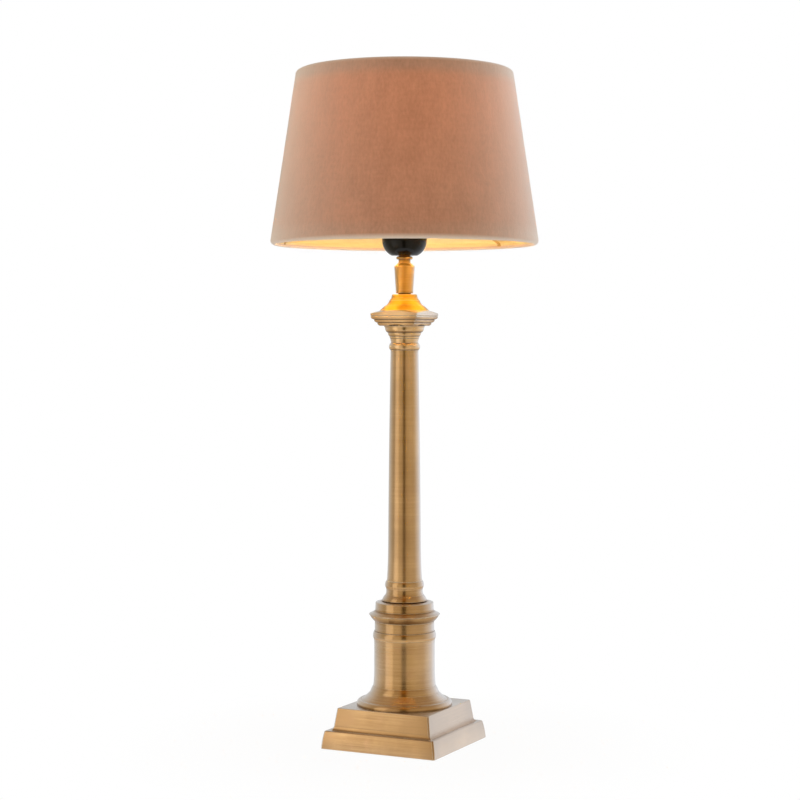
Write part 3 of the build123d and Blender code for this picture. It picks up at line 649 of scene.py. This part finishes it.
def glow(strength):
    """Hot filament."""
    made, tree = material("filament_glow")
    flicker = cloud(tree, flicker_scale, 2.0)
    colour = blend_colour(tree, flicker, filament_dark, filament_light)
    shader = add(tree, "Emission", {"Color": colour, "Strength": strength})
    show(tree, shader.outputs[0])
    return made


def paint(names, made):
    """Gives CAD nodes a material and smooth faces."""
    for name in names:
        mesh = cad[name].data
        mesh.materials.clear()
        mesh.materials.append(made)
        mesh.shade_smooth()


def straight(start, end, count):
    """Points from start up to, but not including, end."""
    return [tuple(a + (b - a) * step / count for a, b in zip(start, end)) for step in range(count)]


def arc(centre, radius, start, end, count):
    """Points of an arc between two directions in degrees, from +radius towards +height."""
    turns = [math.radians(start + (end - start) * step / count) for step in range(count + 1)]
    return [(centre[0] + radius * math.cos(t), centre[1] + radius * math.sin(t)) for t in turns]


def lathe(name, loop, sides, shape):
    """Mesh turned about Z from a closed loop of (radius, height). shape gives how far
    a point moves outwards and upwards, from its angle, radius and height."""
    build = bmesh.new()
    columns = []
    for step in range(sides):
        angle = 2 * math.pi * step / sides
        column = []
        for radius, height in loop:
            out, up = shape(angle, radius, height)
            reach = radius + out
            place = (reach * math.cos(angle), reach * math.sin(angle), height + up)
            column.append(build.verts.new(place))
        columns.append(column)
    for here, there in zip(columns, columns[1:] + columns[:1]):
        for low, high in zip(range(len(loop)), [*range(1, len(loop)), 0]):
            build.faces.new((here[low], there[low], there[high], here[high]))
    bmesh.ops.recalc_face_normals(build, faces=build.faces)
    return piece_from(name, build)


def piece_from(name, build):
    """New smooth object from mesh data."""
    mesh = bpy.data.meshes.new(name)
    build.to_mesh(mesh)
    build.free()
    mesh.shade_smooth()
    mesh.set_sharp_from_angle(angle=crease)
    piece = bpy.data.objects.new(name, mesh)
    bpy.context.scene.collection.objects.link(piece)
    return piece


def dress(piece, body, slot, made, *nodes):
    """Puts a piece on its body in place of CAD nodes, with its finish."""
    piece.data.materials.append(made)
    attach(piece, body)
    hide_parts(*nodes)


def cone_r(height):
    """Outside radius of the shade at a height."""
    return cover_high.x - shade_slope * (height - cover_low.z)


def turn_from(angle, direction):
    """Signed angle between two directions."""
    return (angle - direction + math.pi) % (2 * math.pi) - math.pi


def sway(angle, height):
    """How far the cloth stands out from its cone: hand-laid unevenness."""
    out = 0.0
    for around, along, depth in (sway_wide, sway_close):
        place = (around * math.cos(angle), around * math.sin(angle), along * height)
        out += depth * noise.noise(Vector(place))
    return out


def lap(angle, radius):
    """Step where the seam's upper layer lies on the lower one."""
    across = turn_from(angle, seam_turn) * radius
    step = min(1.0, max(0.0, 0.5 + across / seam_edge))
    return seam_step * step * min(1.0, max(0.0, (seam_lap - across) / seam_lap))


def cloth_shape(angle, radius, height):
    """Unevenness and seam together, on the outside and the inside of the cloth alike."""
    return sway(angle, height) + lap(angle, radius), 0.0


def shade_wall(name):
    """Tapered cover of the shade between its hems."""
    foot, head = cover_low.z, cover_high.z
    outside = straight((cone_r(foot), foot), (cone_r(head), head), cover_rows)
    outside.append((cone_r(head), head))
    inside = [(radius - cover_t, height) for radius, height in outside]
    return lathe(name, outside + inside[::-1], cover_sides, cloth_shape)


def near_arm(angle, radius):
    """1 where an arm of the frame comes in, falling to 0 beside it."""
    gaps = [abs(turn_from(angle, arm_turn + k * 2 * math.pi / arm_count)) for k in range(arm_count)]
    return max(0.0, 1.0 - max(0.0, min(gaps) * radius - arm_room) / arm_ease)


def hem(name, edge_z, inward):
    """Cloth rolled round the edge's wire ring, tucked in below the lining."""
    middle = edge_z + inward * hem_round
    far = cover_low.z if inward > 0 else cover_high.z
    centre = (cone_r(middle) - hem_round, middle)
    inner = cone_r(middle) - hem_t
    tip = cloth_t / 2
    bend = (inner + hem_bend, edge_z + inward * hem_bend)
    lip = (inner + tip, edge_z + inward * (turn_in_h - tip))
    outside = straight((cone_r(far), far), (cone_r(middle), middle), 4)
    outside += arc(centre, hem_round, 0, -90 * inward, 10)
    outside += arc(bend, hem_bend, -90 * inward, -180 * inward, 5)
    outside += arc(lip, tip, 180 * inward, 0, 4)
    inside = arc(bend, hem_bend - cloth_t, -180 * inward, -90 * inward, 4)
    inside += arc(centre, hem_round - cloth_t, -90 * inward, 0, 8)
    inside += [(cone_r(far) - cloth_t, far)]

    def shape(angle, radius, height):
        """Cloth shape, with the tucked edge drawn down under each arm."""
        out, up = cloth_shape(angle, radius, height)
        if inward > 0 and radius < inner + cloth_t + sliver:
            up -= near_arm(angle, radius) * max(0.0, height - edge_z - tuck_h)
        return out, up

    return lathe(name, outside + inside, hem_sides, shape)


def lining(name):
    """Stiff lining on the inside of the cover, lapped over both wire rings."""
    wall_in = cover_t + glue_t + liner_t

    def wrap(edge_z, inward):
        """Depth below the shade's outside and height, from the hem's edge to the wall."""
        rises = (turn_in_h + sliver, (turn_in_h + wrap_low) / 2)
        points = [(hem_t, edge_z + inward * rise) for rise in rises]
        for step in range(wrap_steps + 1):
            ease = (1 + math.cos(math.pi * step / wrap_steps)) / 2
            height = edge_z + inward * (wrap_low + (wrap_high - wrap_low) * step / wrap_steps)
            points.append((wall_in + (hem_t - wall_in) * ease, height))
        return points

    foot, head = wrap(shade_foot_z, 1), wrap(shade_head_z, -1)
    path = foot + straight(foot[-1], head[-1], liner_rows)[1:] + head[::-1]
    inside = [(cone_r(height) - depth, height) for depth, height in path]
    outside = [(cone_r(height) - depth + liner_t, height) for depth, height in path]

    def shape(angle, radius, height):
        """Cloth shape, notched round each arm."""
        out, up = cloth_shape(angle, radius, height)
        if height < shade_foot_z + notch_h:
            up += near_arm(angle, radius) * (shade_foot_z + notch_h - height)
        return out, up

    return lathe(name, inside + outside[::-1], hem_sides, shape)


def felt_pad(name):
    """Square of felt with softened, slightly ragged edges."""
    low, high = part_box("base_felt")
    half = high.x
    corner_r = half - felt_soft
    flat_r = half - 3 * felt_soft
    around, along = felt_waves
    loop = [(sliver, low.z), (flat_r, low.z)]
    loop += arc((corner_r, low.z + felt_soft), felt_soft, -90, 0, 3)
    loop += arc((corner_r, high.z - felt_soft), felt_soft, 0, 90, 3)
    loop += [(flat_r, high.z), (sliver, high.z)]

    def square(angle, radius, height):
        """Moves a round outline to a square one."""
        out = radius / max(abs(math.cos(angle)), abs(math.sin(angle))) - radius
        place = Vector((around * math.cos(angle), around * math.sin(angle), along * height))
        return out - felt_ragged * abs(noise.noise(place)) * radius / half, 0.0

    return lathe(name, loop, felt_sides, square)


def groove(angle, height, pitch, low, high):
    """0 on the crest of a right-hand thread and 1 in its groove, dying out at its ends."""
    fade = thread_fade * pitch
    share = min(1.0, max(0.0, min(height - low, high - height) / fade))
    return share * (1 - math.cos(2 * math.pi * height / pitch - angle)) / 2


def threaded_skirt(name):
    """Skirt of the lampholder with the thread that its two rings run on."""
    low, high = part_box("holder_skirt")
    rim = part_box("holder_dome")[1].z
    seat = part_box("thread_shell")[0].z
    wall = rim + skirt_flange_h
    loop = [(skirt_seat_r, low.z), (skirt_foot_r, low.z), (skirt_foot_r, rim)]
    loop += [(high.x, rim), (high.x, wall)]
    loop += straight((skirt_r, wall), (skirt_r, high.z), skirt_rows)
    loop += [(skirt_r, high.z), (skirt_bore_r, high.z)]
    loop += [(skirt_bore_r, seat), (skirt_seat_r, seat)]

    def shape(angle, radius, height):
        """Thread on the outside of the wall."""
        outside = skirt_seat_r < radius < skirt_foot_r
        return -skirt_depth * outside * groove(angle, height, skirt_pitch, wall, high.z), 0.0

    return lathe(name, loop, thread_sides, shape)


def threaded_cap(name):
    """Thin cap of the bulb with its rolled thread."""
    low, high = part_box("bulb_cap")
    outside = high.x
    inside = outside - bulb_cap_wall
    turn = (outside - bulb_cap_round, low.z + bulb_cap_round)
    loop = arc(turn, bulb_cap_round, -90, 0, 6)
    loop += straight((outside, turn[1]), (outside, high.z), thread_rows)[1:]
    loop += [(outside, high.z)]
    loop += straight((inside, high.z), (inside, turn[1]), thread_rows)
    loop += arc(turn, bulb_cap_round - bulb_cap_wall, 0, -90, 6)

    def shape(angle, radius, height):
        """Thread rolled through the whole wall."""
        rolled = bulb_depth * groove(angle, height, bulb_pitch, turn[1], high.z - bulb_plain_h)
        return -rolled * (radius > inside - sliver), 0.0

    return lathe(name, loop, thread_sides, shape)


def threaded_shell(name):
    """Thin brass shell of the lampholder with the same rolled thread."""
    low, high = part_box("thread_shell")
    floor_z = low.z + shell_wall
    loop = [(shell_lip_r, low.z)]
    loop += straight((high.x, low.z), (high.x, high.z), thread_rows)
    loop += [(high.x, high.z)]
    loop += straight((shell_bore_r, high.z), (shell_bore_r, floor_z), thread_rows)
    loop += [(shell_bore_r, floor_z), (shell_lip_r, floor_z)]

    def shape(angle, radius, height):
        """Thread rolled through the whole wall."""
        foot, head = low.z + shell_plain_foot, high.z - shell_plain_head
        rolled = bulb_depth * groove(angle, height, bulb_pitch, foot, head)
        return -rolled * (radius > shell_lip_r + sliver), 0.0

    return lathe(name, loop, thread_sides, shape)


def coil(name):
    """Coiled filament between the two leads."""
    low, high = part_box("bulb_filament")
    centre_z = (low.z + high.z) / 2
    steps = coil_steps * coil_turns
    build = bmesh.new()
    rings = []
    for step in range(steps + 1):
        turn = 2 * math.pi * coil_turns * step / steps
        along = low.x + (high.x - low.x) * step / steps
        out = Vector((0, math.cos(turn), math.sin(turn)))
        middle = Vector((along, 0, centre_z)) + coil_r * out
        ring = []
        for side in range(coil_sides):
            way = 2 * math.pi * side / coil_sides
            offset = coil_wire_r * (math.cos(way) * out + math.sin(way) * Vector((1, 0, 0)))
            ring.append(build.verts.new(middle + offset))
        rings.append(ring)
    for here, there in zip(rings, rings[1:]):
        for side in range(coil_sides):
            after = (side + 1) % coil_sides
            build.faces.new((here[side], here[after], there[after], there[side]))
    build.faces.new(rings[0][::-1])
    build.faces.new(rings[-1])
    bmesh.ops.recalc_face_normals(build, faces=build.faces)
    return piece_from(name, build)


def seen_plainly(tree):
    """1 to the camera, also through glass, and 0 to all other rays."""
    rays = add(tree, "LightPath").outputs
    return math_node(tree, "MAXIMUM", rays["Is Camera Ray"], rays["Is Transmission Ray"])


def floor():
    """Pale floor that keeps the object's shadow and fades into the white behind it. It is
    clear from below."""
    made, tree = material("floor")
    rays = add(tree, "LightPath")
    seen = math_node(tree, "MAXIMUM", seen_plainly(tree), rays.outputs["Is Glossy Ray"])
    away = add(tree, "VectorMath", {0: own_place(tree)}, operation="LENGTH").outputs["Value"]
    white_share = spread(tree, away, floor_near, floor_r - floor_rim, floor_white, 1.0)
    matt = add(tree, "BsdfDiffuse", {"Color": floor_matt})
    white = add(tree, "Emission", {"Color": plain_white, "Strength": 1.0})
    share = multiply(tree, seen, white_share)
    both = add(tree, "MixShader", {0: share, 1: matt.outputs[0], 2: white.outputs[0]})
    below = add(tree, "NewGeometry").outputs["Backfacing"]
    clear = add(tree, "BsdfTransparent")
    sided = add(tree, "MixShader", {0: below, 1: both.outputs[0], 2: clear.outputs[0]})
    show(tree, sided.outputs[0])
    bpy.ops.mesh.primitive_circle_add(
        vertices=floor_sides,
        radius=floor_r,
        fill_type="NGON",
        location=(0, 0, -floor_gap),
    )
    disc = bpy.context.object
    disc.name = "floor"
    disc.data.materials.append(made)


def tinted(level, warmth):
    """Colour of the studio at a brightness; warmth takes green and blue away."""
    green, blue = [level * (1 - cut * warmth) for cut in warm_cut]
    return (level, green, blue, 1.0)


def studio():
    """White world behind the object; round it, the soft boxes and the gap that metal reflects."""
    world = bpy.data.worlds.new("studio")
    bpy.context.scene.world = world
    world.use_nodes = True
    tree = world.node_tree
    tree.nodes.clear()
    way = add(tree, "TexCoord").outputs["Generated"]
    parts = add(tree, "SeparateXYZ", {0: way})
    towards = multiply(tree, parts.outputs[1], -1.0)
    angle = math_node(tree, "ARCTAN2", parts.outputs[0], towards)
    angle = math_node(tree, "SUBTRACT", angle, view_azimuth + gap_turn)
    turn = math_node(tree, "FRACT", math_node(tree, "DIVIDE", angle, 2 * math.pi))
    ramp = add(tree, "ValToRGB", {"Fac": turn})
    elements = ramp.color_ramp.elements
    elements[0].position, elements[1].position = 0.0, 1.0
    for element in elements:
        element.color = tinted(*studio_round[0][1:])
    for degrees, *light in studio_round[1:]:
        elements.new(degrees / 360.0).color = tinted(*light)
    rise = spread(tree, parts.outputs[2], *ceiling_rise, 0.0, 1.0)
    across = math_node(tree, "ABSOLUTE", math_node(tree, "SUBTRACT", turn, 0.5))
    ceiling = lay(tree, studio_top, studio_glow, across, *glow_across, 1.0)
    sky = blend_colour(tree, rise, ramp.outputs["Color"], ceiling)
    lit = add(tree, "Background", {"Color": sky, "Strength": 1.0})
    white = add(tree, "Background", {"Color": plain_white, "Strength": 1.0})
    both = add(tree, "MixShader", {0: seen_plainly(tree), 1: lit.outputs[0], 2: white.outputs[0]})
    add(tree, "OutputWorld", {"Surface": both.outputs[0]})


def lamp(name, kind, power, colour, place, only=(), **settings):
    """Lamp of the scene; it may be kept to some pieces, which it then reaches unshaded."""
    light = bpy.data.lights.new(name, kind)
    light.energy = power
    light.color = colour
    for key, value in settings.items():
        setattr(light, key, value)
    thing = bpy.data.objects.new(name, light)
    thing.location = place
    bpy.context.scene.collection.objects.link(thing)
    if only:
        light.use_shadow = False
        group = bpy.data.collections.new(name + "_receivers")
        for piece in only:
            group.objects.link(piece)
        thing.light_linking.receiver_collection = group
    return thing


def soft_box(name, degrees, distance, height, size, level, colour, only=()):
    """Upright soft box, this far to the camera's right round the lamp."""
    turn = view_azimuth + math.radians(degrees)
    place = (distance * math.sin(turn), -distance * math.cos(turn), height)
    width, tall = size
    power = level * math.pi * width * tall
    box = lamp(name, "AREA", power, colour, place, only, shape="RECTANGLE", size=width, size_y=tall)
    box.rotation_euler = (math.pi / 2, 0, turn)
    box.visible_camera = False


def camera():
    """Camera at the photograph's viewing angle."""
    lens = bpy.data.cameras.new("camera")
    lens.sensor_width = sensor_mm
    lens.lens = focal_px * sensor_mm / picture_side
    thing = bpy.data.objects.new("camera", lens)
    side, front = math.cos(view_azimuth), math.sin(view_azimuth)
    thing.location = (
        view_distance * front + view_aside * side,
        -view_distance * side + view_aside * front,
        view_height,
    )
    thing.rotation_euler = (math.pi / 2 - view_drop, 0, view_azimuth)
    bpy.context.scene.collection.objects.link(thing)
    bpy.context.scene.camera = thing


def lights():
    """Soft boxes beside the lamp, the bulb, its glow in the cover and its spill below."""
    soft_box("left_box", *left_box, box_warm)
    soft_box("right_box", *right_box, box_cool, [cover, foot_hem, head_hem, cad["abacus"]])
    soft_box("plinth_box", *plinth_box, box_warm, [cad["plinth"]])
    low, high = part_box("bulb_glass")
    middle = (0, 0, (low.z + high.z) / 2)
    bulb = lamp("bulb_lamp", "POINT", bulb_power, bulb_warm, middle, shadow_soft_size=bulb_soft)
    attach(bulb, "bulb")
    inside = (0, 0, glow_z)
    lamp("shade_glow", "POINT", glow_power, bulb_warm, inside, [cover], shadow_soft_size=bulb_soft)
    below = [cad[name] for name in ("spindle", "cap", "lock_ring")]
    mouth = (0, 0, shade_foot_z)
    lamp("spill", "AREA", spill_power, spill_warm, mouth, below, shape="DISK", size=2 * spill_r)


# Brass of the column, from the foot up
paint(["plinth"], brass("square_brass", square=True))
paint(["pedestal", "pedestal_disc", "column_base"], brass("turned_brass"))
# The column, capital and abacus take a share of paler brass: painted light
paint(["column_shaft"], brass("column_brass", satin=0.10, tint=brass_painted_light, share=0.18))
paint(["neck_ring", "capital"], brass("capital_brass", satin=0.02, tint=brass_painted_light, share=0.6))
paint(["abacus"], brass("abacus_brass", square=True, tint=brass_painted_light, share=0.3))
# The cap and spindle take a share of painted orange light from the bulb
paint(["cap"], brass("cap_brass", satin=0.14, tint=brass_painted_glow, share=0.85, sheen_veil=0.15))
spindle_brass = brass("satin_brass", satin=0.14, tint=brass_painted_glow, share=0.35, sheen_veil=0.65)
paint(["spindle", "lock_ring"], spindle_brass)

# Inside of the foot, lampholder, shade frame and bulb
steel = plain_metal("zinc_steel", zinc_tone, roughness=0.3, grain=300.0)
paint(["base_plate", "plate_screws", "base_washer", "base_nut", "threaded_tube"], steel)
paint(["ballast"], moulded("cast_iron", iron_tone, roughness=0.6))
paint(["cord_grommet"], moulded("grommet_black", grommet_tone, roughness=0.45))
holder_black = moulded("holder_black", holder_tone, roughness=0.14, shine=0.28)
paint(["holder_dome", "lower_shade_ring", "upper_shade_ring"], holder_black)
paint(["holder_insert"], moulded("ceramic", ceramic_tone, roughness=0.6))
bright_brass = plain_metal("contact_brass", contact_tone, roughness=0.22, grain=500.0)
paint(["terminals", "terminal_screws", "centre_contact"], bright_brass)
wire_brass = plain_metal("frame_wire", wire_tone, roughness=0.42, grain=400.0)
paint(["fitter_ring", "spider_arms", "bottom_wire_ring", "top_wire_ring"], wire_brass)
cap_metal = plain_metal("bulb_cap_metal", nickel_tone, roughness=0.25, grain=600.0)
paint(["bulb_tip", "bulb_leads"], cap_metal)
paint(["bulb_insulator"], moulded("black_glass", insulator_tone, roughness=0.1))
paint(["bulb_glass", "bulb_stem"], bulb_glass())

# Pieces made here in place of the CAD's plain ones
cover_velvet = velvet("cover_velvet", lit=velvet_through)
hem_velvet = velvet("hem_velvet", lit=0.0)
cover = shade_wall("velvet_cover")
dress(cover, "shade", "velvet", cover_velvet, "shade_cover")
liner = lining("gold_lining")
dress(liner, "shade", "gold_liner", gold_foil(), "shade_liner")
foot_hem = hem("foot_hem", shade_foot_z, 1)
dress(foot_hem, "shade", "hem_tape", hem_velvet, "bottom_hem")
head_hem = hem("head_hem", shade_head_z, -1)
dress(head_hem, "shade", "hem_tape", hem_velvet, "top_hem")
dress(felt_pad("felt_pad"), "lamp", "felt", felt(), "base_felt")
dress(threaded_skirt("threaded_skirt"), "lamp", "black_holder", holder_black, "holder_skirt")
dress(threaded_shell("threaded_shell"), "lamp", "contact_brass", bright_brass, "thread_shell")
dress(threaded_cap("threaded_cap"), "bulb", "bulb_cap_metal", cap_metal, "bulb_cap")
dress(coil("filament_coil"), "bulb", "bulb_glow", glow(filament_glow), "bulb_filament")

floor()
studio()
lights()
camera()
bpy.context.scene.view_settings.view_transform = "Standard"
